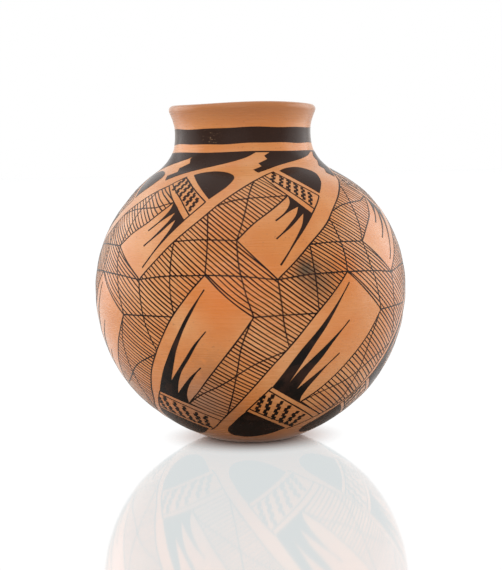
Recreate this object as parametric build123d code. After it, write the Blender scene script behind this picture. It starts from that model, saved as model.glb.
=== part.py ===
from build123d import *

import math
import os

# Pueblo pottery jar: a coil-built, round-bodied jar with a short neck and a flared rim.
#
# The jar is modelled the way it is built by hand. A base pat is pressed into a shallow mould.
# Coils of clay are laid on it one above the other and pinched thin. Two shoulder coils draw the
# mouth in, a little off the body's axis, and a neck coil and a rim coil finish it. Every coil is
# a ring of its own that laps the one below on a slanting joint, lower inside than outside.
#
# Millimetres. +Z is up, and the origin is the middle of the flat foot.

# Outside form
jar_height = 218.0
body_diameter = 203.5
belly_height = 98.5  # height of the widest ring above the foot
foot_diameter = 52.0  # where the body's curve would meet the ground
foot_edge_radius = 12.0
neck_diameter = 88.0  # at the throat, where the neck is narrowest
throat_radius = 27.0  # the hollow curve between shoulder and throat
flare_radius = 36.0  # the hollow curve from throat to rim
flare_height = 19.5  # from the throat up to the top of the lip
neck_offset = 3.0  # how far the hand-set neck stands off the body's axis, towards -X

# Clay
wall_thickness = 6.0
floor_thickness = 9.0
floor_edge_radius = 30.0

# Coils. A rise is measured along the outside of the wall.
base_pat_height = 24.5  # height of the base pat's outer edge above the foot
wall_coil_count = 6
shoulder_coil_count = 2
shoulder_coil_rise = 24.0
neck_rise = 13.0
rim_rise = 14.0
lap_slant = 35.0  # degrees that each joint slants away from square to the wall

# Finer points of construction
curve_step = 4.0  # spacing of the sections and corners that follow a curve
clearance = 2.0  # how far a trimming tool reaches past the clay

body_radius = body_diameter / 2
foot_radius = foot_diameter / 2
neck_radius = neck_diameter / 2
lip_radius = wall_thickness / 2


def direction(angle):
    """The unit vector at this angle, in degrees, in the half-plane of radius and height."""
    return Vector(math.cos(math.radians(angle)), math.sin(math.radians(angle)))


# The outline's four arcs: bowl, shoulder, throat and flare, each tangent to the next. The bowl
# runs from the foot to the widest ring, where it stands upright and the shoulder takes over.
foot_step = body_radius - foot_radius
bowl_radius = (foot_step**2 + belly_height**2) / (2 * foot_step)
bowl_centre = Vector(body_radius - bowl_radius, belly_height)
throat_centre = Vector(neck_radius + throat_radius, jar_height - flare_height)
flare_centre = throat_centre + Vector(flare_radius - throat_radius, 0)

# The shoulder's radius is the one that joins the widest ring and the throat smoothly
span = Vector(body_radius, belly_height) - throat_centre
shoulder_radius = (span.length**2 - throat_radius**2) / (2 * (throat_radius + span.X))
shoulder_centre = Vector(body_radius - shoulder_radius, belly_height)
throat_reach = throat_centre - shoulder_centre
shoulder_turn = math.degrees(math.atan2(throat_reach.Y, throat_reach.X))
flare_turn = math.degrees(math.asin((flare_height - lip_radius) / (flare_radius + lip_radius)))


def bowl_angle(depth, height):
    """Degrees below the widest ring at which the bowl, this deep in the clay, has this height."""
    return math.degrees(math.asin((belly_height - height) / (bowl_radius - depth)))


def outline(depth, bottom):
    """The wall's outline at this depth in the clay, from this height up to the lip."""
    low = bowl_angle(depth, bottom)
    return Wire(
        [
            CenterArc(bowl_centre, bowl_radius - depth, -low, low),
            CenterArc(shoulder_centre, shoulder_radius - depth, 0, shoulder_turn),
            CenterArc(throat_centre, throat_radius + depth, 180 + shoulder_turn, -shoulder_turn),
            CenterArc(flare_centre, flare_radius + depth, 180, -flare_turn),
        ]
    )


outside = outline(0, 0)
inside = outline(wall_thickness, floor_thickness)

# Distances of the joints along the outside, from the foot up
pat_edge = math.radians(bowl_angle(0, 0) - bowl_angle(0, base_pat_height)) * bowl_radius
rim_joint = outside.length - rim_rise
neck_joint = rim_joint - neck_rise
shoulder_joint = neck_joint - shoulder_coil_count * shoulder_coil_rise
wall_coil_rise = (shoulder_joint - pat_edge) / wall_coil_count
wall_joints = [pat_edge + i * wall_coil_rise for i in range(wall_coil_count + 1)]
shoulder_joints = [
    shoulder_joint + i * shoulder_coil_rise for i in range(shoulder_coil_count + 1)
]


def joint_ends(distance, reach=0.0):
    """The outer and inner ends of a joint, carried on past the clay by this reach."""
    point = outside.position_at(distance, position_mode=PositionMode.LENGTH)
    along = outside.tangent_at(distance, position_mode=PositionMode.LENGTH)
    inward = Vector(-along.Y, along.X)
    slant = inward - along * math.tan(math.radians(lap_slant))
    return point - slant * reach, point + slant * (wall_thickness + reach)


def zone(lower, upper):
    """The strip of the half-plane that a joint would sweep from one distance to another."""
    steps = max(2, math.ceil((upper - lower) / curve_step))
    distances = [lower + (upper - lower) * i / steps for i in range(steps + 1)]
    lines = [joint_ends(distance, clearance + neck_offset) for distance in distances]
    corners = [outer for outer, _ in lines] + [inner for _, inner in reversed(lines)]
    return make_face(Polyline(*corners, close=True))


def wall_section():
    """Half of the whole jar's cross-section."""
    lip_centre = flare_centre + direction(180 - flare_turn) * (flare_radius + lip_radius)
    lip = CenterArc(lip_centre, lip_radius, -flare_turn, 180)
    floor_and_foot = Polyline(inside @ 0, (0, floor_thickness), (0, 0), outside @ 0)
    return make_face(outside.edges() + [lip] + inside.edges() + floor_and_foot.edges())


def turned(section, drift=0.0):
    """A solid turned from a half section, about the body's axis or one that has drifted."""
    return Pos(-drift, 0, 0) * revolve(Plane.XZ * section, Axis.Z)


def base_pat(section):
    """The base: the bottom of the section, with its foot and floor eased into the wall."""
    foot = section.vertices().sort_by_distance(outside @ 0)[0]
    eased = section.fillet_2d(foot_edge_radius, [foot])
    floor = eased.vertices().sort_by_distance(inside @ 0)[0]
    return turned(eased.fillet_2d(floor_edge_radius, [floor]))


# Heights between which the shoulder drifts, so that both its end joints stay truly round
drift_start = joint_ends(shoulder_joints[0])[0].Y
drift_end = joint_ends(shoulder_joints[-1])[1].Y


def drift_at(height):
    """How far the shoulder has drifted sideways at this height: a smooth step to the neck's."""
    share = min(1.0, max(0.0, (height - drift_start) / (drift_end - drift_start)))
    return neck_offset * share * share * (3 - 2 * share)


def drifting_skin(line, overrun):
    """The solid inside an outline, lofted from rings that drift sideways as they rise."""
    bottom = joint_ends(shoulder_joints[0])[1].Y - overrun
    top = joint_ends(shoulder_joints[-1])[0].Y + overrun
    steps = math.ceil(line.length / curve_step)
    points = [line @ (i / steps) for i in range(steps + 1)]
    rings = [p for p in points if bottom < p.Y < top]
    return loft([Pos(-drift_at(p.Y), 0, p.Y) * Circle(p.X) for p in rings])


def shoulder_coils():
    """The coils that draw the mouth in off-centre, cut from one drifting shell."""
    shell = drifting_skin(outside, 2 * curve_step) - drifting_skin(inside, 4 * curve_step)
    drifts = [drift_at(joint_ends(distance)[0].Y) for distance in shoulder_joints]
    below = [turned(zone(wall_joints[-2], d), x) for d, x in zip(shoulder_joints, drifts)]
    above = [turned(zone(d, outside.length), x) for d, x in zip(shoulder_joints, drifts)]
    return [shell - below[i] - above[i + 1] for i in range(shoulder_coil_count)]


def jar_pieces():
    """Every piece of the jar by name, from the base up."""
    section = wall_section()
    ends = section - zone(pat_edge, rim_joint)
    pieces = {"base_pat": base_pat(ends.faces().sort_by(Axis.Y)[0])}
    for i, (lower, upper) in enumerate(zip(wall_joints, wall_joints[1:]), 1):
        pieces[f"wall_coil_{i}"] = turned(section & zone(lower, upper))
    for i, coil in enumerate(shoulder_coils(), 1):
        pieces[f"shoulder_coil_{i}"] = coil
    pieces["neck_coil"] = turned(section & zone(neck_joint, rim_joint), neck_offset)
    pieces["rim_coil"] = turned(ends.faces().sort_by(Axis.Y)[-1], neck_offset)
    return pieces


os.makedirs("parts", exist_ok=True)
for name, piece in jar_pieces().items():
    export_step(piece, f"parts/{name}.step")
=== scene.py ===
import math
from collections import namedtuple

import bpy
import numpy as np
from mathutils import Matrix, Vector
from mathutils.geometry import delaunay_2d_cdt


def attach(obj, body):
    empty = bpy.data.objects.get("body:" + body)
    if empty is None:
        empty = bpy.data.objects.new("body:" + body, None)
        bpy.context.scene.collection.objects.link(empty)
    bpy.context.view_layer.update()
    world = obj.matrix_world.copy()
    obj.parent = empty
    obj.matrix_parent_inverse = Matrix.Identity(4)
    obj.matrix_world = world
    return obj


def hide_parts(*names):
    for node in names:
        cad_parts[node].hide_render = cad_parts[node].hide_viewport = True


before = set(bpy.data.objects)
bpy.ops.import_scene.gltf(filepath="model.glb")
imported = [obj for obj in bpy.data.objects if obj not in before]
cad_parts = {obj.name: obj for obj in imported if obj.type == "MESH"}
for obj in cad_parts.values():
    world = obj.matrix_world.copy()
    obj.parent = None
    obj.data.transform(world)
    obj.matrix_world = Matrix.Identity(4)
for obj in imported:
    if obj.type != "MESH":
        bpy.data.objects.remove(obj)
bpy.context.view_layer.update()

# A coil-built pottery jar with a fine-line painted pattern that repeats around the body.
# The jar's lengths are in millimetres up to the last step, which places everything in metres.
# The materials and the studio are in metres throughout.
millimetre = 0.001

# The unsteady hand that draws the brush lines
hand = np.random.default_rng(7)

# Form of the wall
jar_height = 218.0
body_radius = 101.75
belly_height = 98.5
foot_radius = 26.0
foot_edge_radius = 12.0
neck_radius = 44.0
throat_radius = 27.0
flare_radius = 36.0
flare_height = 19.5
neck_offset = 3.0
wall_thickness = 6.0
floor_thickness = 9.0
floor_edge_radius = 30.0
lip_radius = wall_thickness / 2

# Coils. A rise is measured along the outside of the wall.
base_pat_height = 24.5
wall_coil_count = 6
shoulder_coil_count = 2
shoulder_coil_rise = 24.0
neck_rise = 13.0
rim_rise = 14.0
lap_slant = 35.0
lap = wall_thickness * math.tan(math.radians(lap_slant))

# Unevenness of the hand-worked wall. Within the fade radius it dies away towards the axis.
oval_swell = 0.30
three_sided_swell = 0.18
ripple_depth = 0.10
foot_pinch = 1.2
foot_pinch_height = 14.0
foot_pinch_reach = 12.0
fade_radius = 40.0
lip_wave_depth = 0.4
lip_wave_start = 190.0

# Fineness of the meshes
columns = 224
row_step = 2.5
flat_steps = 12
edge_points = 8
lip_points = 11
band_steps = 8
stroke_step = 2.5
outline_step = 1.5
fill_step = 3.0
fill_margin = 1.2
weld_distance = 1e-5
triangles_inside = 1  # the kind of triangulation that stays inside an outline
tip_step = 1.0
tip_points = 11

# Painted pattern
repeats = 7
repeat_angle = 360 / repeats
hatch_spacing = 2.5
hatch_slope = math.radians(24.1)  # at the foot
hatch_bend = math.radians(0.1)  # steeper by this for each millimetre up the wall
hatch_stray = 0.12  # share of the spacing
shortest_hatch = 1.0
upper_squares = 6
lower_squares = 7
upper_square_size = 1.9
lower_square_size = 2.3
square_overlap = 0.17  # share of a square's length

# Brush widths, and the shares of them by which they vary
fine_brush = 0.8
border_brush = 0.9
upper_tip_brush = 1.0
lower_tip_brush = 0.75
fine_brush_range = 0.85, 1.15
line_unsteadiness = 0.14
square_unsteadiness = 0.2
quick_tremor = 1.9  # points along a line to one radian of its wavering
slow_tremor = 4.3

# Slow wander of the whole pattern, in degrees around and in millimetres up the wall
wide_wander = 0.20
close_wander = 0.12
wide_rise = 0.25
close_rise = 0.20

# How far the paint stands off the clay and is bedded in it. Layers of one film that may cross
# take turns at slightly different levels.
hatching_lift = 0.050
cell_lift = 0.062
check_lift = 0.062
border_lift = 0.080
band_lift = 0.090
solid_lift = 0.100
layer_lift = 0.003
layer_levels = 6
paint_bed = 0.12

# The neck's paint: distances up the wall, the line's width, and how far the edges waver
band_low = 248.5
band_high = 258.4
neck_line = 242.6
neck_line_width = 1.0
wide_waver = 0.2
close_waver = 0.15


def direction(angle):
    """The unit vector at this angle in the half-plane of radius and height."""
    return np.array([math.cos(angle), math.sin(angle)])


def ramp(value, start, end):
    """A straight rise from 0 at the start to 1 at the end, and level beyond them."""
    return np.clip((value - start) / (end - start), 0, 1)


# The outline's four arcs, each tangent to the next
foot_step = body_radius - foot_radius
bowl_radius = (foot_step**2 + belly_height**2) / (2 * foot_step)
bowl_centre = np.array([body_radius - bowl_radius, belly_height])
throat_centre = np.array([neck_radius + throat_radius, jar_height - flare_height])
flare_centre = throat_centre + [flare_radius - throat_radius, 0]
span = np.array([body_radius, belly_height]) - throat_centre
shoulder_radius = (span @ span - throat_radius**2) / (2 * (throat_radius + span[0]))
shoulder_centre = np.array([body_radius - shoulder_radius, belly_height])
throat_reach = throat_centre - shoulder_centre
shoulder_turn = math.atan2(throat_reach[1], throat_reach[0])
flare_turn = math.asin((flare_height - lip_radius) / (flare_radius + lip_radius))
foot_angle = math.asin(belly_height / bowl_radius)

# Centre, radius, first and last angle, and 1 where the outside is round or -1 where it is hollow
arcs = [
    (bowl_centre, bowl_radius, -foot_angle, 0, 1),
    (shoulder_centre, shoulder_radius, 0, shoulder_turn, 1),
    (throat_centre, throat_radius, math.pi + shoulder_turn, math.pi, -1),
    (flare_centre, flare_radius, math.pi, math.pi - flare_turn, -1),
]
wall_length = sum(size * abs(last - first) for _, size, first, last, _ in arcs)


def wall(distance, depth=0.0):
    """Radius and height of the wall this far along its outside and this deep in the clay."""
    distance = np.asarray(distance, dtype=float)
    radius = np.zeros_like(distance)
    height = np.zeros_like(distance)
    begun = 0.0
    for centre, size, first, last, side in arcs:
        length = size * abs(last - first)
        angle = first + (distance - begun) / length * (last - first)
        reach = size - side * depth
        reached = distance >= begun
        radius = np.where(reached, centre[0] + reach * np.cos(angle), radius)
        height = np.where(reached, centre[1] + reach * np.sin(angle), height)
        begun += length
    return radius, height


# Joints between the coils, from the base pat's edge up to the rim's
pat_edge = bowl_radius * (foot_angle - math.asin((belly_height - base_pat_height) / bowl_radius))
rim_joint = wall_length - rim_rise
neck_joint = rim_joint - neck_rise
shoulder_joint = neck_joint - shoulder_coil_count * shoulder_coil_rise
joints = [
    *np.linspace(pat_edge, shoulder_joint, wall_coil_count + 1),
    *np.linspace(shoulder_joint, neck_joint, shoulder_coil_count + 1)[1:],
    rim_joint,
]

# Heights between which the shoulder drifts towards the neck's own axis
drift_start = float(wall(shoulder_joint)[1])
drift_end = float(wall(neck_joint - lap, wall_thickness)[1])


def place(angle, radius, height):
    """Points of the hand-worked jar in metres, at degrees from the front towards +X."""
    turn = np.radians(angle)
    share = ramp(height, drift_start, drift_end)
    drift = neck_offset * share**2 * (3 - 2 * share)
    swell = oval_swell * np.sin(2 * turn + height / 70 + 0.7)
    swell = swell + three_sided_swell * np.sin(3 * turn - height / 45)
    ripple = ripple_depth * np.sin(height / 2.6 + 1.5 * np.sin(turn)) * np.sin(turn + height / 30)
    pinch = foot_pinch * np.exp(-(((height - foot_pinch_height) / foot_pinch_reach) ** 2))
    radius = radius + (swell + ripple - pinch) * ramp(radius, 0, fade_radius)
    lip_wave = lip_wave_depth * np.sin(3 * turn + 0.5) * ramp(height, lip_wave_start, jar_height) ** 2
    x = radius * np.sin(turn) - drift
    y = -radius * np.cos(turn)
    return np.stack([x, y, height + lip_wave], axis=-1) * millimetre


# Materials
bloom_roughness = 0.35
bloom_tint = (1.0, 0.92, 0.84, 1.0)


class Finish:
    """A node material being put together: noise, ramps and mixes that end in one shader."""

    def __init__(self, name):
        self.material = bpy.data.materials.new(name)
        self.material.use_nodes = True
        self.nodes = self.material.node_tree.nodes
        self.links = self.material.node_tree.links
        self.shader = self.nodes["Principled BSDF"]
        self.place = self.nodes.new("ShaderNodeTexCoord").outputs["Object"]

    def join(self, source, socket):
        """Links a node's output to a socket, or sets the socket to a plain value."""
        if isinstance(source, bpy.types.NodeSocket):
            self.links.new(source, socket)
        else:
            socket.default_value = source

    def noise(self, size, stretch=(1, 1, 1), detail=3.0, roughness=0.55, seed=0.0):
        """Cloudy noise with features of about this size, in metres, stretched along each axis."""
        mapping = self.nodes.new("ShaderNodeMapping")
        mapping.inputs["Location"].default_value = (seed, seed * 0.7, seed * 1.3)
        mapping.inputs["Scale"].default_value = [1 / (size * s) for s in stretch]
        self.links.new(self.place, mapping.inputs["Vector"])
        noise = self.nodes.new("ShaderNodeTexNoise")
        noise.inputs["Scale"].default_value = 1.0
        noise.inputs["Detail"].default_value = detail
        noise.inputs["Roughness"].default_value = roughness
        self.links.new(mapping.outputs["Vector"], noise.inputs["Vector"])
        return noise.outputs["Fac"]

    def spread(self, value, low, high, bottom=0.0, top=1.0):
        """A value that runs smoothly from bottom to top as the input goes from low to high."""
        node = self.nodes.new("ShaderNodeMapRange")
        node.interpolation_type = "SMOOTHSTEP"
        self.links.new(value, node.inputs["Value"])
        limits = (("From Min", low), ("From Max", high), ("To Min", bottom), ("To Max", top))
        for name, limit in limits:
            node.inputs[name].default_value = limit
        return node.outputs["Result"]

    def near(self, point, reach, core=0.0):
        """1 within the core of a place, fading to 0 this far from it."""
        node = self.nodes.new("ShaderNodeVectorMath")
        node.operation = "DISTANCE"
        self.links.new(self.place, node.inputs[0])
        node.inputs[1].default_value = point
        return self.spread(node.outputs["Value"], core, reach, 1.0, 0.0)

    def height(self):
        """Height above the floor."""
        node = self.nodes.new("ShaderNodeSeparateXYZ")
        self.links.new(self.place, node.inputs["Vector"])
        return node.outputs["Z"]

    def maths(self, operation, first, second):
        """One step of arithmetic with node outputs or plain numbers."""
        node = self.nodes.new("ShaderNodeMath")
        node.operation = operation
        self.join(first, node.inputs[0])
        self.join(second, node.inputs[1])
        return node.outputs["Value"]

    def mix(self, share, first, second):
        """A colour between two, by this share of the second."""
        node = self.nodes.new("ShaderNodeMix")
        node.data_type = "RGBA"
        self.join(share, node.inputs["Factor"])
        for colour, socket in ((first, node.inputs["A"]), (second, node.inputs["B"])):
            self.join(colour if isinstance(colour, bpy.types.NodeSocket) else (*colour, 1), socket)
        return node.outputs["Result"]

    def relief(self, height, depth):
        """Fine relief of about this depth in metres."""
        node = self.nodes.new("ShaderNodeBump")
        node.inputs["Strength"].default_value = 1.0
        node.inputs["Distance"].default_value = depth
        self.links.new(height, node.inputs["Height"])
        self.links.new(node.outputs["Normal"], self.shader.inputs["Normal"])

    def plain(self, kind, colour):
        """A plain shader of this kind and colour."""
        node = self.nodes.new("ShaderNode" + kind)
        node.inputs["Color"].default_value = (*colour, 1)
        return node

    def blend(self, share, first, second):
        """A shader between two, by this share of the second."""
        node = self.nodes.new("ShaderNodeMixShader")
        self.join(share, node.inputs[0])
        self.links.new(first.outputs[0], node.inputs[1])
        self.links.new(second.outputs[0], node.inputs[2])
        return node

    def done(self, colour, roughness, specular=0.5, bloom=0.0):
        """The finished material, with a pale bloom where it is seen at a low angle."""
        self.join(colour, self.shader.inputs["Base Color"])
        self.join(roughness, self.shader.inputs["Roughness"])
        self.shader.inputs["Specular IOR Level"].default_value = specular
        self.shader.inputs["Sheen Weight"].default_value = bloom
        self.shader.inputs["Sheen Roughness"].default_value = bloom_roughness
        self.shader.inputs["Sheen Tint"].default_value = bloom_tint
        return self.material


# Colours of the clay outside
orange_clay = (0.635, 0.220, 0.051)
pale_clay = (0.665, 0.290, 0.103)
mottled_clay = (0.58, 0.170, 0.028)
rubbed_clay = (0.76, 0.340, 0.115)
speck_brown = (0.20, 0.075, 0.030)
# Painted shade on the rim, darker towards the lip
rim_painted_shade = (0.36, 0.125, 0.035)
# Painted warm shade at the foot, against the grey sheen on the underside
foot_painted_warm_shade = (0.84, 0.29, 0.025)
blush_red = (0.66, 0.170, 0.014)
smoke_brown = (0.085, 0.058, 0.028)
ash_grey = (0.21, 0.180, 0.155)

# Colours of the clay inside
inner_brown = (0.36, 0.140, 0.060)
inner_pale = (0.45, 0.190, 0.085)
scrape_brown = (0.25, 0.095, 0.045)

# Colours of the paint, where it is thick, thin and worn. The thin colour is also painted high up as a
# highlight.
solid_tones = (0.006, 0.004, 0.003), (0.036, 0.015, 0.009)
line_tones = (0.010, 0.005, 0.003), (0.034, 0.012, 0.006)
worn_paint = (0.26, 0.160, 0.090)

# Marks of the fire on the clay: angle, distance up the wall, reach in metres and depth
fire_blushes = [
    (-10.0, 134.0, 0.032, 0.9),
    (4.0, 145.0, 0.030, 0.5),
    (30.0, 118.0, 0.030, 0.4),
    (36.0, 150.0, 0.022, 0.6),
    (90.0, 100.0, 0.050, 0.6),
    (-110.0, 150.0, 0.045, 0.6),
    (200.0, 90.0, 0.050, 0.5),
]
fire_clouds = [
    (19.6, 152.0, 0.012, 0.95),
    (23.8, 144.5, 0.021, 0.55),
    (-14.7, 89.5, 0.024, 0.28),
    (160.0, 120.0, 0.030, 0.5),
]
ash_clouds = [
    (-22.0, 64.0, 0.034, 0.55),
    (110.0, 170.0, 0.045, 0.35),
]


def marked(finish, colour, marks, tint, drift=None):
    """A colour with soft round marks of a tint, broken up by a drift where one is given."""
    for angle, distance, reach, depth in marks:
        mark = finish.near(place(angle, *wall(distance)), reach)
        if drift is not None:
            depth = finish.maths("MULTIPLY", drift, depth)
        colour = finish.mix(finish.maths("MULTIPLY", mark, depth), colour, tint)
    return colour


def burnished_clay():
    """Orange clay polished with a stone: blushes, rubbing marks, a few specks and fire clouds."""
    clay = Finish("burnished clay")
    blush = clay.spread(clay.noise(0.07, seed=3.0), 0.36, 0.64)
    mottle = clay.spread(clay.noise(0.02, detail=5.0, seed=1.0), 0.38, 0.66)
    rubbing = clay.noise(0.03, stretch=(1, 1, 0.05), detail=5.0, seed=5.0)
    specks = clay.spread(clay.noise(0.0012, detail=1.0, seed=9.0), 0.67, 0.75)
    drift = clay.spread(clay.noise(0.006, detail=4.0, seed=2.0), 0.25, 0.52)
    # Painted shade: the rim darkens towards the lip
    rim = clay.spread(clay.height(), 0.198, 0.217, 0.0, 0.75)
    # Painted warm shade: a warmer orange towards the floor
    foot = clay.spread(clay.height(), 0.004, 0.024, 0.85, 0.0)
    colour = clay.mix(blush, orange_clay, pale_clay)
    colour = clay.mix(clay.maths("MULTIPLY", mottle, 0.4), colour, mottled_clay)
    colour = clay.mix(clay.spread(rubbing, 0.5, 0.75, 0.0, 0.14), colour, rubbed_clay)
    colour = clay.mix(clay.maths("MULTIPLY", specks, 0.45), colour, speck_brown)
    colour = clay.mix(rim, colour, rim_painted_shade)
    colour = clay.mix(foot, colour, foot_painted_warm_shade)
    colour = marked(clay, colour, fire_blushes, blush_red)
    colour = marked(clay, colour, fire_clouds, smoke_brown, drift)
    colour = marked(clay, colour, ash_clouds, ash_grey)
    clay.relief(rubbing, depth=0.00004)
    return clay.done(colour, clay.spread(rubbing, 0.3, 0.7, 0.20, 0.32), specular=0.42, bloom=0.5)


def scraped_clay():
    """The same clay left dull inside, with the marks of scraping."""
    clay = Finish("scraped clay")
    tone = clay.spread(clay.noise(0.04, detail=5.0, seed=4.0), 0.35, 0.68)
    scrapes = clay.noise(0.03, stretch=(1, 1, 0.08), detail=4.0, seed=6.0)
    colour = clay.mix(tone, inner_brown, inner_pale)
    colour = clay.mix(clay.spread(scrapes, 0.5, 0.7, 0.0, 0.4), colour, scrape_brown)
    clay.relief(scrapes, depth=0.0003)
    return clay.done(colour, clay.spread(scrapes, 0.3, 0.7, 0.6, 0.8), specular=0.35)


def mineral_paint(name, thick, thin, cover, seed, bloom, scuff=None):
    """Dark mineral paint: brown where it is thin, paler brown high up as a painted highlight of the
    light from above, and clay where it is worn.
    """
    paint = Finish(name)
    flow = paint.noise(0.012, detail=5.0, seed=seed)
    grain = paint.noise(0.0012, detail=2.0, seed=seed + 3)
    # Painted highlight: the paint turns to its paler brown higher up, where light from above catches
    # it
    high = paint.spread(paint.height(), 0.07, 0.16, 0.0, 0.8)
    colour = paint.mix(paint.maths("MAXIMUM", paint.spread(flow, 0.42, cover), high), thick, thin)
    colour = paint.mix(paint.spread(grain, 0.6, 0.75, 0.0, 0.35), colour, thin)
    if scuff is not None:
        scratches = paint.noise(0.0035, stretch=(1, 1, 0.3), detail=5.0, roughness=0.7, seed=2.0)
        worn = paint.maths("MULTIPLY", paint.near(scuff, 0.010), paint.spread(scratches, 0.55, 0.68))
        colour = paint.mix(worn, colour, worn_paint)
    paint.relief(grain, depth=0.000015)
    roughness = paint.spread(flow, 0.3, 0.7, 0.20, 0.32)
    return paint.done(colour, roughness, specular=0.10, bloom=bloom)


# The finishes in use. The neck's band is scuffed at one place.
band_scuff = place(-26, *wall(251))
clay_finishes = [burnished_clay(), scraped_clay()]
black_paint = mineral_paint("black paint", *solid_tones, cover=0.75, seed=11.0, bloom=0.12)
band_paint = mineral_paint(
    "band paint", *solid_tones, cover=0.75, seed=13.0, bloom=0.4, scuff=band_scuff
)
line_paint = mineral_paint("fine line paint", *line_tones, cover=0.65, seed=17.0, bloom=0.2)


# Clay
def square_to(first, second):
    """The unit vector square to two others."""
    normal = np.cross(first, second)
    return tuple(normal / np.linalg.norm(normal))


def bottom_rows(depth, level, ease):
    """Rows from the axis along a flat bottom and round its edge, and where the wall begins."""
    reach = bowl_radius - depth - ease
    drop = belly_height - level - ease
    edge = bowl_centre[0] + math.sqrt(reach**2 - drop**2)
    last = math.asin(drop / reach)
    flat = [(edge * i / flat_steps, level) for i in range(flat_steps)]
    turns = np.linspace(math.pi / 2, last, edge_points)
    eased = [(edge + ease * math.cos(t), level + ease - ease * math.sin(t)) for t in turns]
    return flat + eased, bowl_radius * (foot_angle - last)


def stations(marks):
    """Distances from the first mark to the last that keep every mark between."""
    kept = [marks[0]]
    for lower, upper in zip(marks, marks[1:]):
        steps = math.ceil((upper - lower) / row_step)
        kept += list(np.linspace(lower, upper, steps + 1)[1:])
    return kept


def lip_rows():
    """Rows over the rounded lip, from the outside of the flare to its inside."""
    centre = flare_centre + direction(math.pi - flare_turn) * (flare_radius + lip_radius)
    turns = np.linspace(-flare_turn, math.pi - flare_turn, lip_points)[1:-1]
    return [tuple(centre + direction(t) * lip_radius) for t in turns]


def skin_rows():
    """Rows of the whole skin from foot to lip to floor, and each joint's outer and inner row."""
    foot_rows, foot_end = bottom_rows(0, 0, foot_edge_radius)
    floor_rows, floor_end = bottom_rows(wall_thickness, floor_thickness, floor_edge_radius)
    kept = list(foot_rows)
    outer = []
    for distance in stations([foot_end, *joints, wall_length])[1:]:
        kept.append(wall(distance))
        if distance in joints:
            outer.append(len(kept) - 1)
    kept += lip_rows()
    inner_joints = [distance - lap for distance in joints]
    inner = []
    for distance in reversed(stations([floor_end, *inner_joints, wall_length])[1:]):
        kept.append(wall(distance, wall_thickness))
        if distance in inner_joints:
            inner.append(len(kept) - 1)
    kept += reversed(floor_rows)
    return np.array(kept, dtype=float), outer, inner[::-1]


# The skin is a grid of points, row by row, with its normals
rows, outer_rows, inner_rows = skin_rows()
last_row = len(rows) - 1
lip_top = int(np.argmax(rows[:, 1]))
column_angles = np.arange(columns) * 360 / columns
skin = place(column_angles[None, :], rows[:, :1], rows[:, 1:])
around = np.roll(skin, -1, axis=1) - np.roll(skin, 1, axis=1)
skin_normals = np.cross(around, np.gradient(skin, axis=0))
skin_normals[0] = (0, 0, -1)
skin_normals[-1] = (0, 0, 1)
skin_normals /= np.linalg.norm(skin_normals, axis=2, keepdims=True)


def add_object(name, points, faces, finishes):
    """A smooth-shaded mesh object that rides on the jar."""
    mesh = bpy.data.meshes.new(name)
    mesh.from_pydata([tuple(point) for point in points], [], faces)
    for finish in finishes:
        mesh.materials.append(finish)
    mesh.polygons.foreach_set("use_smooth", [True] * len(faces))
    thing = bpy.data.objects.new(name, mesh)
    bpy.context.scene.collection.objects.link(thing)
    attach(thing, "root")
    return thing


# A ring of a coil: its row of the skin, its run of rows, its first point and how many it has
Ring = namedtuple("Ring", ["row", "run", "start", "size"])


def coil_rings(runs):
    """The points of a coil from runs of the skin's rows, and the rings that they form."""
    points = []
    rings = []
    for run, (first, last) in enumerate(runs):
        for row in range(first, last + 1):
            size = 1 if row in (0, last_row) else columns
            rings.append(Ring(row, run, len(points), size))
            points += list(skin[row, :size])
    return points, rings


def coil_face(below, above, column):
    """The corners and normals of one face between two rings, a triangle where one is a point."""
    face = []
    normals = []
    following = (column + 1) % columns
    corners = (below, column), (below, following), (above, following), (above, column)
    for ring, side in corners:
        index = ring.start + side % ring.size
        if index not in face:
            face.append(index)
            normals.append(tuple(skin_normals[ring.row, side]))
    return face, normals


def add_coil(node, runs):
    """One closed piece of clay from runs of the skin's rows, with plain joints between them."""
    points, rings = coil_rings(runs)
    pairs = list(zip(rings, rings[1:]))
    if rings[0].size > 1:
        pairs.append((rings[-1], rings[0]))
    faces = []
    normals = []
    finishes = []
    for below, above in pairs:
        joint = below.run != above.run or below is rings[-1]
        for column in range(columns):
            face, face_normals = coil_face(below, above, column)
            if joint:
                first, second, last = points[face[0]], points[face[1]], points[face[-1]]
                face_normals = [square_to(second - first, last - first)] * len(face)
            faces.append(face)
            normals += face_normals
            finishes.append(1 if joint or below.row >= lip_top else 0)
    coil = add_object(node + "_clay", points, faces, clay_finishes)
    coil.data.polygons.foreach_set("material_index", finishes)
    coil.data.normals_split_custom_set(normals)
    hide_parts(node)


def add_coils():
    """Every piece of clay, from the base pat up to the rim."""
    names = [f"wall_coil_{i + 1}" for i in range(wall_coil_count)]
    names += [f"shoulder_coil_{i + 1}" for i in range(shoulder_coil_count)]
    names += ["neck_coil"]
    add_coil("base_pat", [(0, outer_rows[0]), (inner_rows[0], last_row)])
    for i, name in enumerate(names):
        outer = (outer_rows[i], outer_rows[i + 1])
        add_coil(name, [outer, (inner_rows[i + 1], inner_rows[i])])
    add_coil("rim_coil", [(outer_rows[-1], inner_rows[-1])])


# Painting. The chart unrolls the outside: degrees around from the front, and distance up the wall.
def degree_length(distance):
    """Length of one degree around the wall at this distance up it."""
    return np.radians(wall(distance)[0])


def chart_scale(distance):
    """Lengths of one degree around and of one step up the wall at this distance up it."""
    degree = degree_length(distance)
    return np.stack([degree, np.ones_like(degree)], axis=-1)


def on_wall(chart, lift):
    """Where chart points lie on the jar, with the slow wander of a hand-drawn pattern."""
    angle, distance = np.asarray(chart, dtype=float).T
    turn = np.radians(angle)
    wander = wide_wander * np.sin(2 * turn + distance / 40)
    wander = wander + close_wander * np.sin(5 * turn - distance / 60)
    rise = wide_rise * np.sin(3 * turn + distance / 50) + close_rise * np.sin(4 * turn + 1.0)
    return place(angle + wander, *wall(distance + rise, -lift))


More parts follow.
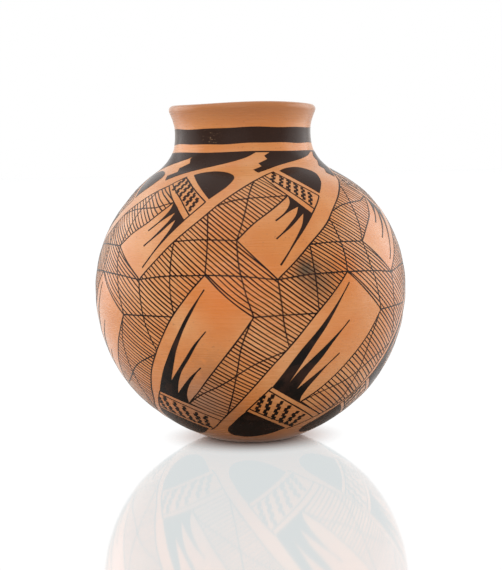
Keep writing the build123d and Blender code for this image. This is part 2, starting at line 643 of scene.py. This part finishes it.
def curve(points, step=stroke_step):
    """A smooth line through chart points, sampled evenly along its length."""
    points = np.asarray(points, dtype=float)
    middle = (points[1:, 1] + points[:-1, 1]) / 2
    steps = np.diff(points, axis=0) * chart_scale(middle)
    reached = np.concatenate([[0], np.cumsum(np.hypot(*steps.T))])
    slopes = np.gradient(points, reached, axis=0)
    along = np.linspace(0, reached[-1], max(2, math.ceil(reached[-1] / step) + 1))
    i = np.clip(np.searchsorted(reached, along, "right") - 1, 0, len(points) - 2)
    gap = (reached[i + 1] - reached[i])[:, None]
    t = (along - reached[i])[:, None] / gap
    start = (1 + 2 * t) * (1 - t) ** 2 * points[i] + t * (1 - t) ** 2 * gap * slopes[i]
    end = t**2 * (3 - 2 * t) * points[i + 1] - t**2 * (1 - t) * gap * slopes[i + 1]
    return start + end


def outline(*runs):
    """A closed outline of smooth runs, each starting at the corner where the last one ended."""
    return np.concatenate([curve(run, outline_step)[:-1] for run in runs])


def within(points, edge):
    """Which chart points lie inside a closed outline."""
    x, y = points.T
    inside = np.zeros(len(points), dtype=bool)
    for (ax, ay), (bx, by) in zip(edge, np.roll(edge, -1, axis=0)):
        if ay != by:
            crossed = (ay > y) != (by > y)
            inside ^= crossed & (x < ax + (y - ay) * (bx - ax) / (by - ay))
    return inside


class Film:
    """Layers of paint on the wall, gathered into one piece."""

    def __init__(self, lift):
        self.lift = lift
        self.layers = 0
        self.points = []
        self.faces = []
        self.normals = []

    def add(self, chart, tops, edges):
        """One layer: its top, its underside bedded in the clay, and the edge between them."""
        lift = self.lift + layer_lift * (self.layers % layer_levels)
        start = len(self.points)
        under = start + len(chart)
        top, bed = on_wall(chart, lift), on_wall(chart, -paint_bed)
        outward = (top - bed) / np.linalg.norm(top - bed, axis=1, keepdims=True)
        self.points += [*top, *bed]
        for face in tops:
            self.faces.append([start + i for i in face])
            self.normals += [tuple(outward[i]) for i in face]
            self.faces.append([under + i for i in reversed(face)])
            self.normals += [tuple(-outward[i]) for i in reversed(face)]
        for a, b in edges:
            self.faces.append([start + b, start + a, under + a, under + b])
            self.normals += [square_to(top[a] - top[b], bed[b] - top[b])] * 4
        self.layers += 1

    def stroke(self, path, width, unsteadiness=line_unsteadiness):
        """A brush line along a path, of slightly unsteady width."""
        path = np.asarray(path, dtype=float)
        count = len(path)
        scale = chart_scale(path[:, 1])
        ahead = np.gradient(path, axis=0) * scale
        ahead /= np.linalg.norm(ahead, axis=1, keepdims=True)
        across = np.stack([-ahead[:, 1], ahead[:, 0]], axis=1) / scale
        phases = hand.uniform(0, 2 * math.pi, 2)
        i = np.arange(count)
        tremor = np.sin(i / quick_tremor + phases[0]) + np.sin(i / slow_tremor + phases[1])
        pressure = 1 + unsteadiness * tremor / 2
        half = across * (width / 2 * pressure)[:, None]
        chart = np.concatenate([path - half, path + half])
        tops = [[i, i + 1, count + i + 1, count + i] for i in range(count - 1)]
        edges = [(i, i + 1) for i in range(count - 1)]
        edges += [(count + i + 1, count + i) for i in range(count - 1)]
        edges += [(count - 1, 2 * count - 1), (count, 0)]
        self.add(chart, tops, edges)

    def fill(self, edge):
        """A painted area inside a closed outline."""
        scale = chart_scale(edge[:, 1].mean())
        low, high = edge.min(axis=0), edge.max(axis=0)
        axes = [np.arange(a, b, fill_step / s) for a, b, s in zip(low, high, scale)]
        grid = np.stack(np.meshgrid(*axes), axis=-1).reshape(-1, 2)
        grid = grid[within(grid, edge)]
        gaps = np.linalg.norm((grid[:, None] - edge[None]) * scale, axis=2).min(axis=1)
        flat = np.concatenate([edge, grid[gaps > fill_margin]]) * scale
        corners = [Vector(point) for point in flat]
        sides = [(i, (i + 1) % len(edge)) for i in range(len(edge))]
        made = delaunay_2d_cdt(corners, sides, [], triangles_inside, weld_distance)
        chart = np.array([tuple(point) for point in made[0]])
        tops = []
        for face in made[2]:
            a, b, c = (chart[i] for i in face)
            left_turn = (b[0] - a[0]) * (c[1] - a[1]) > (b[1] - a[1]) * (c[0] - a[0])
            tops.append(list(face) if left_turn else list(reversed(face)))
        used = {(a, b) for face in tops for a, b in zip(face, face[1:] + face[:1])}
        self.add(chart / scale, tops, [(a, b) for a, b in sorted(used) if (b, a) not in used])

    def ring(self, low, high, steps):
        """A painted band right around the wall between two wavering edges."""
        levels = [low + (high - low) * i / steps for i in range(steps + 1)]
        chart = np.concatenate([np.stack([column_angles, level], axis=1) for level in levels])
        tops = []
        for row in range(steps):
            near, far = row * columns, (row + 1) * columns
            for i in range(columns):
                k = (i + 1) % columns
                tops.append([near + i, near + k, far + k, far + i])
        top = steps * columns
        edges = [(i, (i + 1) % columns) for i in range(columns)]
        edges += [(top + (i + 1) % columns, top + i) for i in range(columns)]
        self.add(chart, tops, edges)

    def finish(self, name, finish):
        """The finished piece of paint."""
        film = add_object(name, self.points, self.faces, [finish])
        film.data.normals_split_custom_set(self.normals)


def shifted(points, turns):
    """Chart points carried this many repeats around the jar."""
    return np.asarray(points, dtype=float) + [turns * repeat_angle, 0]


# How far each repeat strays from the lines and outlines below, in degrees or millimetres
upper_turn = [0.0, -1.0, 0.5, -1.0, 1.0, -0.5, -1.5]
upper_drop = [0.0, 5.6, 4.0, 6.0, 3.0, 5.0, 7.5]
border_slide = [0.0, 6.0, 4.0, 5.0, 3.0, 4.0, 5.5]
feather_drop = [7.0, 0.0, 1.0, 4.0, 2.0, 5.0, 3.0]
wedge_turn = [0.0, 1.5, -2.0, 2.0, -3.0, -1.0, -7.0]
wedge_drop = [0.0, 6.5, 5.0, 4.0, 5.0, 5.0, 7.0]
slim_repeats = (0, 3, 5)

# Distances up the wall over which a stray comes in, from where it is nothing to where it is full
upper_stretch = (148, 188)
lower_stretch = (140, 70)
foot_stretch = (38, 68)
wedge_stretch = (242.4, 224.4)
feather_stretch = (48, 148)  # nothing at both ends and full midway

# The slanting middle line of a repeat: a point on it, and its rise for each degree
middle_angle = 1
middle_distance = 124
middle_slope = 2

# Degrees to the right or left of that line over which a stray comes in
slide_stretch = (0, 21.5)
drop_stretch = (0, -23)

# How far one step of a slide goes around, in degrees, and down, in millimetres
slide_turn = 0.6
slide_drop = 0.75


def drawn(points, turns):
    """Points of one repeat carried around the jar, and straying as that repeat does."""
    angle, distance = np.asarray(points, dtype=float).T
    rise = ramp(distance, *upper_stretch)
    # The upper part drops less at its right
    right_ease = np.clip(1.5 - angle / 19, 0.4, 1)
    sink = ramp(distance, *lower_stretch) * ramp(distance, *foot_stretch)
    swing = np.sin(math.pi * ramp(distance, *feather_stretch))
    across = angle - (distance - middle_distance) / middle_slope - middle_angle
    slide = border_slide[turns] * sink * ramp(across, *slide_stretch)
    drop = feather_drop[turns] * swing * ramp(across, *drop_stretch)
    angle = angle + upper_turn[turns] * rise + slide_turn * slide
    distance = distance - upper_drop[turns] * rise * right_ease - slide_drop * slide - drop
    return shifted(np.stack([angle, distance], axis=1), turns)


def drawn_below(points, turns):
    """The same for what lies under the hatching of a repeat, given as it lies beside the first."""
    return drawn(shifted(points, -1), turns)


def drawn_wedge(points, turns):
    """The same for the wedges, which hang from the line below the neck."""
    angle, distance = np.asarray(points, dtype=float).T
    drop = wedge_drop[turns] * ramp(distance, *wedge_stretch)
    return shifted(np.stack([angle + wedge_turn[turns], distance - drop], axis=1), turns)


# Corners and borders of one repeat of the pattern
upper_corner = (9.6, 146.3)
upper_side = (-4.4, 170.6)
upper_root = (18.4, 201.7)
lower_corner = (35.9, 149.6)
lower_side = (52.5, 124.2)
lower_root = (21.2, 63.1)
bar_end = (36.6, 49.9)
upper_border = [
    (-41.8, 146.3),
    (-34.9, 158.5),
    (-28.5, 170.1),
    (-18.8, 185.6),
    (-12.3, 196.4),
    (-4.6, 206.0),
    (4.9, 215.4),
    (9.8, 219.4),
]
bar_top = [(9.8, 219.4), (14.5, 222.7), (18.6, 225.0)]
lower_border = [
    lower_corner,
    (28.8, 136.2),
    (23.0, 125.6),
    (15.2, 108.9),
    (6.1, 90.0),
    (-1.5, 73.6),
    (-8.6, 60.0),
    (-14.8, 49.9),
]
bar_bottom = [(-14.8, 49.9), (-19.3, 43.3), (-26.2, 35.0), (-29.4, 32.6)]
upper_panel = [upper_root, (9.3, 190.4), (1.6, 180.8), upper_side]
lower_panel = [lower_side, (46.5, 109.7), (40.0, 95.9), (34.3, 84.6), (28.1, 73.2), lower_root]
left_middle = [(-15.5, 149.6), (-20.0, 148.6), (-28.0, 148.4), (-35.7, 148.0), (-41.8, 146.3)]
right_middle = [upper_corner, (20.7, 148.8), lower_corner]


def upper_feather():
    """The edges of three fingers that hang from the upper checkered bar."""
    return [
        [upper_root, (18.2, 196.3), (17.1, 192.9), (14.5, 188.2), (10.7, 183.1)],
        [(10.7, 183.1), (14.2, 186.6), (17.4, 189.8), (21.4, 192.8)],
        [(21.4, 192.8), (19.7, 187.3), (16.2, 181.0), (10.2, 171.1)],
        [(10.2, 171.1), (16.2, 178.3), (20.0, 183.8), (22.8, 187.8)],
        [(22.8, 187.8), (21.3, 181.1), (18.3, 173.2), (14.6, 164.3), (10.9, 154.8)],
        [(10.9, 154.8), (12.8, 158.9), (17.0, 168.0), (21.5, 176.8), (27.0, 187.2)],
        [(27.0, 187.2), upper_root],
    ]


def broad_feather():
    """The edges of three broad fingers that rise from the lower checkered bar."""
    return [
        [(7.9, 77.4), (12.3, 89.0), (17.3, 101.9), (24.1, 116.2), (30.2, 129.8), (36.2, 143.0)],
        [(36.2, 143.0), (31.0, 129.3), (27.0, 117.8), (22.2, 104.9), (17.9, 91.4), (14.4, 80.1)],
        [(14.4, 80.1), (18.0, 88.8), (22.8, 97.6), (28.6, 107.4), (36.2, 120.0)],
        [(36.2, 120.0), (30.1, 107.0), (25.8, 96.0), (21.6, 86.2), (18.1, 74.6)],
        [(18.1, 74.6), (22.3, 81.6), (27.2, 89.3), (33.6, 99.2)],
        [(33.6, 99.2), (28.4, 89.6), (25.2, 82.0), (22.2, 73.2), (20.9, 67.0), lower_root],
        [lower_root, (7.9, 77.4)],
    ]


def slim_feather():
    """The same with slim fingers that curl like horns, as some of the repeats have it."""
    return [
        [(7.9, 77.4), (14.4, 94.1), (20.3, 108.4), (25.2, 120.1), (29.8, 130.7), (35.8, 142.3)],
        [(35.8, 142.3), (31.0, 130.5), (26.9, 120.1), (23.1, 108.0), (20.1, 96.0), (17.5, 86.6)],
        [(17.5, 86.6), (21.6, 93.8), (26.8, 103.8), (31.0, 112.2), (35.7, 119.3)],
        [(35.7, 119.3), (32.0, 111.6), (28.5, 103.2), (23.5, 92.4), (20.5, 83.5), (18.2, 74.1)],
        [(18.2, 74.1), (22.3, 80.6), (27.0, 87.8), (32.1, 93.8)],
        [(32.1, 93.8), (28.4, 87.0), (24.8, 79.4), (22.6, 72.5), lower_root],
        [lower_root, (7.9, 77.4)],
    ]


def upper_disc():
    """The half disc above the upper checkered bar."""
    left, right = (22.5, 225.8), (35.4, 202.8)
    top = [left, (25.7, 227.8), (30.0, 229.1), (35.7, 229.8), (40.3, 229.1), (44.3, 227.3)]
    side = [(46.9, 224.4), (47.3, 221.8), (46.1, 218.5), (43.6, 213.8), (39.3, 208.0), right]
    return outline(top + side, [right, left])


def lower_disc():
    """The half disc below the lower checkered bar."""
    left, right = (-3.3, 56.4), (20.4, 33.6)
    side = [left, (-7.5, 49.8), (-12.1, 42.0), (-15.7, 36.3), (-17.1, 31.3), (-16.4, 27.0)]
    foot = [(-14.3, 24.4), (-10.0, 22.5), (-4.3, 21.4), (1.4, 21.9), (7.1, 23.7), (12.9, 26.9)]
    return outline([*side, *foot, (17.1, 30.4), right], [right, (6.7, 46.5), left])


def step_wedge():
    """The long wedge that hangs below the neck, with steps down its short side."""
    steps = [(21.5, 242.4), (16.2, 239.8), (17.9, 237.2), (10.8, 234.0), (12.4, 231.2)]
    steps += [(6.2, 227.8), (8.6, 224.2)]
    sweep = [(8.6, 224.2), (14.6, 227.4), (21.4, 230.5), (29.6, 233.1), (39.4, 235.3)]
    sweep += [(52.2, 237.9), (62.1, 240.2), (68.3, 242.3)]
    sides = list(zip(steps, steps[1:]))
    return outline(*sides, sweep, [(68.3, 242.3), (45.0, 242.5), (21.5, 242.4)])


def hatched_area():
    """The part of one repeat that fine lines fill, between the upper and lower panels."""
    return outline(
        upper_border,
        [upper_border[-1], upper_root],
        upper_panel,
        [upper_side, upper_corner],
        right_middle,
        lower_border,
        shifted([bar_end, lower_root], -1),
        shifted(lower_panel[::-1], -1),
        shifted([lower_side, lower_corner], -1),
        left_middle,
    )


def runs_of(points, kept):
    """Unbroken runs of the kept points along a line, thinned to the length of a stroke's step."""
    changes = np.flatnonzero(np.diff(kept.astype(int)))
    runs = []
    for begin, end in zip(changes[::2], changes[1::2]):
        run = points[begin + 1 : end + 1]
        scale = chart_scale(run[:, 1])
        length = np.hypot(*(np.diff(run, axis=0) * scale[1:]).T).sum()
        if length > shortest_hatch:
            count = max(2, math.ceil(length / stroke_step) + 1)
            runs.append(run[np.linspace(0, len(run) - 1, count).astype(int)])
    return runs


def hatch_paths():
    """Fine lines that cross the hatched area, sloping down to the right and steeper higher up."""
    edge = hatched_area()
    angles = np.arange(-44, 38, 0.25)
    distances = np.arange(35, 226, 0.5)
    slope = hatch_slope + hatch_bend * distances
    across = angles[:, None] * degree_length(distances) + 1 / hatch_bend
    # Each fine line keeps to one whole level of this count
    count = np.sin(slope) * across / hatch_spacing
    paths = []
    for level in np.arange(math.ceil(count.min()), count.max()):
        level += hand.uniform(-hatch_stray, hatch_stray)
        line = [np.interp(level, column, distances) for column in count]
        points = np.stack([angles, line], axis=1)
        paths += runs_of(points, within(points, edge))
    return paths


# Lines of one repeat. Those under the hatching are given as they lie beside the first repeat.
cell_lines = [
    [(-15.5, 149.6), (-3.4, 148.7), upper_corner],
    right_middle,
    [(-13.2, 194.6), (-7.9, 197.9), (0.0, 200.0), (10.0, 200.9), upper_root],
    [(-28.5, 170.1), (-20.0, 171.2), (-11.4, 171.0), upper_side],
    [(4.6, 215.2), (2.4, 209.2), (0.2, 200.5), (-1.3, 189.5), (-2.9, 179.0), upper_side],
    [upper_side, (-3.6, 154.8), (-2.0, 142.9), (1.1, 124.3)],
    [(-16.6, 189.0), (-15.7, 178.0), (-15.1, 165.0), (-15.4, 149.6)],
    [(-28.5, 170.1), (-28.6, 158.8), (-28.5, 148.3)],
    [(22.9, 148.8), (23.3, 137.0), (23.7, 127.0)],
    [upper_corner, (10.5, 132.8), (11.5, 117.8), (13.3, 104.9)],
    [(1.1, 124.3), (10.6, 125.0), (22.8, 125.5)],
    [(0.1, 121.6), (-3.1, 107.9), (-5.9, 86.8), (-9.1, 67.5), (-12.3, 54.4)],
    [(12.3, 102.7), (0.5, 93.6), (-11.6, 80.2), (-23.9, 69.9), (-30.2, 63.1)],
]
upper_lines = [
    upper_border,
    bar_top,
    lower_border,
    bar_bottom,
    [upper_side, upper_corner],
    upper_panel,
    [upper_border[-1], upper_root, (26.5, 187.0)],
    [(11.7, 220.3), (28.4, 190.8)],
    [(17.9, 224.7), (34.1, 200.7)],
    [(26.7, 187.4), (34.1, 200.7)],
]
lower_lines = [
    lower_panel,
    [lower_corner, lower_side],
    [(7.9, 77.4), lower_root, bar_end],
    [(6.5, 74.6), (16.9, 62.6), (34.1, 46.0)],
    [(-1.6, 58.9), (7.7, 49.6), (25.2, 35.2)],
    [(-3.3, 56.4), (6.7, 46.5), (20.4, 33.6)],
    [(7.9, 77.4), (3.0, 68.2), (-3.3, 56.4)],
]

# Middle lines of the columns of checks, from the bottom up
upper_checks = [
    [(13.9, 213.9), (18.3, 223.6)],
    [(17.2, 209.9), (21.2, 219.7)],
    [(19.8, 205.7), (23.9, 216.2)],
    [(22.7, 202.3), (26.3, 212.4)],
    [(25.1, 198.4), (28.2, 208.0)],
    [(27.4, 194.2), (30.3, 203.7)],
]
lower_checks = [
    [(1.6, 56.4), (4.4, 70.7)],
    [(5.5, 51.8), (8.0, 71.0)],
    [(10.0, 47.0), (12.3, 65.1)],
    [(14.9, 42.4), (16.3, 60.4)],
    [(18.8, 39.2), (21.5, 54.6)],
    [(22.7, 36.4), (25.9, 51.0)],
]


def add_column(film, column, squares, size):
    """A column of little squares of this size that step from side to side."""
    low, high = column
    scale = chart_scale((low[1] + high[1]) / 2)
    step = (high - low) / squares
    ahead = step * scale / np.linalg.norm(step * scale)
    sideways = np.array([-ahead[1], ahead[0]]) / scale * size / 4
    length = 1 + 2 * square_overlap
    for i in range(squares):
        begin = low + step * (i - square_overlap) + sideways * (1 if i % 2 else -1)
        path = [begin, begin + step * (length / 2), begin + step * length]
        film.stroke(path, size, square_unsteadiness)


def add_feather(film, tips, edges, carried, turns, brush):
    """A feather, with a short brush line in each finger that leaves its tip blunt."""
    film.fill(carried(outline(*edges), turns))
    fingers = edges[:-1]
    for near, far in zip(fingers[::2], fingers[1::2]):
        sides = curve(near, tip_step)[::-1], curve(far, tip_step)
        middle = (sides[0][:tip_points] + sides[1][:tip_points]) / 2
        tips.stroke(carried(middle, turns), brush)


def add_lines(hatching, cells, borders, paths, turns):
    """The fine lines, cell lines and borders of one repeat."""
    for path in paths:
        hatching.stroke(drawn(path, turns), fine_brush * hand.uniform(*fine_brush_range))
    for line in cell_lines:
        cells.stroke(drawn(curve(line), turns), fine_brush)
    for line in upper_lines:
        borders.stroke(drawn(curve(line), turns), border_brush)
    for line in lower_lines:
        borders.stroke(drawn_below(curve(line), turns), border_brush)


def add_checks(checks, turns):
    """The squares of the two checkered bars of one repeat."""
    for column in upper_checks:
        add_column(checks, drawn(column, turns), upper_squares, upper_square_size)
    for column in lower_checks:
        add_column(checks, drawn_below(column, turns), lower_squares, lower_square_size)


def add_feathers(feathers, tips, turns):
    """The two feathers of one repeat."""
    lower_feather = slim_feather if turns in slim_repeats else broad_feather
    add_feather(feathers, tips, upper_feather(), drawn, turns, upper_tip_brush)
    add_feather(feathers, tips, lower_feather(), drawn_below, turns, lower_tip_brush)


def add_pattern():
    """The painted pattern, repeat by repeat, right around the jar."""
    hatching, cells, borders = Film(hatching_lift), Film(cell_lift), Film(border_lift)
    checks, feathers = Film(check_lift), Film(solid_lift)
    discs, wedges = Film(solid_lift), Film(solid_lift)
    paths = hatch_paths()
    for turns in range(repeats):
        add_lines(hatching, cells, borders, paths, turns)
        add_checks(checks, turns)
        add_feathers(feathers, borders, turns)
        discs.fill(drawn(upper_disc(), turns))
        discs.fill(drawn_below(lower_disc(), turns))
        wedges.fill(drawn_wedge(step_wedge(), turns))
    hatching.finish("paint_hatching", line_paint)
    cells.finish("paint_cell_lines", line_paint)
    borders.finish("paint_borders", black_paint)
    checks.finish("paint_checks", black_paint)
    feathers.finish("paint_feathers", black_paint)
    discs.finish("paint_discs", black_paint)
    wedges.finish("paint_wedges", black_paint)


def add_bands():
    """The black band around the neck, and the thin line below it."""
    turn = np.radians(column_angles)
    bands = Film(band_lift)
    low = band_low + wide_waver * np.sin(5 * turn) + close_waver * np.sin(11 * turn + 1)
    high = band_high + wide_waver * np.sin(4 * turn + 2) + close_waver * np.sin(9 * turn)
    bands.ring(low, high, band_steps)
    line = neck_line + close_waver * np.sin(6 * turn + 1)
    bands.ring(line - neck_line_width / 2, line + neck_line_width / 2, 1)
    bands.finish("paint_bands", band_paint)


# Studio, in metres, watts and degrees
floor_reach = 40.0
floor_grey = (0.87, 0.87, 0.87)
floor_white = (0.91, 0.91, 0.91)
# Painted warm shadow under the jar, seen by light that bounces off the floor
painted_warm_shadow = (0.24, 0.14, 0.08)
floor_glow = (0.69, 0.725, 0.73)
floor_shade = (0.46, 0.42, 0.385)
floor_gloss = (0.34, 0.305, 0.30)
surround_light = 0.70
surround_seen = 1.0
lamp_aim = Vector((0, 0, 0.1))
camera_place = (0.00044, -0.919, 0.17751)
camera_lens = 88.287
camera_sensor = 36.0
camera_down = 4.818
camera_roll = -1.168


def floor_finish():
    """A white floor with a faint clear reflection, shaded only close under the jar, and with a
    painted warm shadow under the jar for light that bounces off it.
    """
    finish = Finish("pale floor")
    nodes, links = finish.nodes, finish.links
    grain = finish.spread(finish.noise(0.02, detail=4.0), 0.3, 0.7)
    pale = finish.mix(grain, floor_grey, floor_white)
    # Painted shadow: light bouncing off the floor sees it dark and warm under the jar, a little
    # towards the front
    painted_shadow_mask = finish.near((0, -0.03, 0), 0.12, 0.035)
    finish.done(finish.mix(painted_shadow_mask, pale, painted_warm_shadow), 0.5)
    glow = finish.plain("Emission", floor_glow)
    shade = finish.plain("BsdfDiffuse", floor_shade)
    ground = finish.blend(finish.near((0, 0, 0), 0.066, 0.024), glow, shade)
    gloss = finish.plain("BsdfGlossy", floor_gloss)
    gloss.distribution = "MULTI_GGX"
    gloss.inputs["Roughness"].default_value = 0.06
    seen = nodes.new("ShaderNodeAddShader")
    links.new(ground.outputs[0], seen.inputs[0])
    links.new(gloss.outputs[0], seen.inputs[1])
    path = nodes.new("ShaderNodeLightPath")
    whole = finish.blend(path.outputs["Is Camera Ray"], finish.shader, seen)
    links.new(whole.outputs[0], nodes["Material Output"].inputs["Surface"])
    return finish.material


def add_floor():
    """A wide flat floor under the jar."""
    mesh = bpy.data.meshes.new("floor")
    ends = (-floor_reach, floor_reach)
    corners = [(x, y, 0) for y in ends for x in ends]
    mesh.from_pydata(corners, [], [(0, 1, 3, 2)])
    mesh.materials.append(floor_finish())
    floor = bpy.data.objects.new("floor", mesh)
    bpy.context.scene.collection.objects.link(floor)


def add_lamp(name, location, size, power):
    """A soft square lamp that faces the jar."""
    data = bpy.data.lights.new(name, "AREA")
    data.size = size
    data.energy = power
    lamp = bpy.data.objects.new(name, data)
    lamp.location = location
    lamp.rotation_euler = (lamp_aim - lamp.location).to_track_quat("-Z", "Y").to_euler()
    bpy.context.scene.collection.objects.link(lamp)


def add_sky():
    """Even white light all around, plain white where it is seen or reflected."""
    world = bpy.data.worlds.new("white surround")
    world.use_nodes = True
    nodes, links = world.node_tree.nodes, world.node_tree.links
    path = nodes.new("ShaderNodeLightPath")
    seen = nodes.new("ShaderNodeMath")
    seen.operation = "MAXIMUM"
    links.new(path.outputs["Is Camera Ray"], seen.inputs[0])
    links.new(path.outputs["Is Glossy Ray"], seen.inputs[1])
    level = nodes.new("ShaderNodeMapRange")
    level.inputs["To Min"].default_value = surround_light
    level.inputs["To Max"].default_value = surround_seen
    links.new(seen.outputs["Value"], level.inputs["Value"])
    nodes["Background"].inputs["Color"].default_value = (1, 1, 1, 1)
    links.new(level.outputs["Result"], nodes["Background"].inputs["Strength"])
    bpy.context.scene.world = world


def add_camera():
    """The photo's view: level with the shoulder, looking slightly down, and tipped one degree."""
    data = bpy.data.cameras.new("camera")
    data.lens = camera_lens
    data.sensor_width = camera_sensor
    camera = bpy.data.objects.new("camera", data)
    tilt = Matrix.Rotation(math.radians(90 - camera_down), 4, "X")
    roll = Matrix.Rotation(math.radians(camera_roll), 4, "Z")
    camera.matrix_world = Matrix.Translation(camera_place) @ tilt @ roll
    bpy.context.scene.collection.objects.link(camera)
    bpy.context.scene.camera = camera


add_coils()
add_pattern()
add_bands()
add_floor()
add_sky()
add_lamp("overhead lamp", (-0.3, -0.5, 1.5), size=1.4, power=4.2)
add_lamp("front lamp", (-0.3, -1.6, 0.35), size=1.2, power=3.7)
add_lamp("left lamp", (-1.1, 0.35, 0.42), size=1.2, power=7.4)
add_lamp("right lamp", (1.1, 0.35, 0.35), size=1.2, power=7.6)
add_camera()
bpy.context.scene.view_settings.view_transform = "Standard"
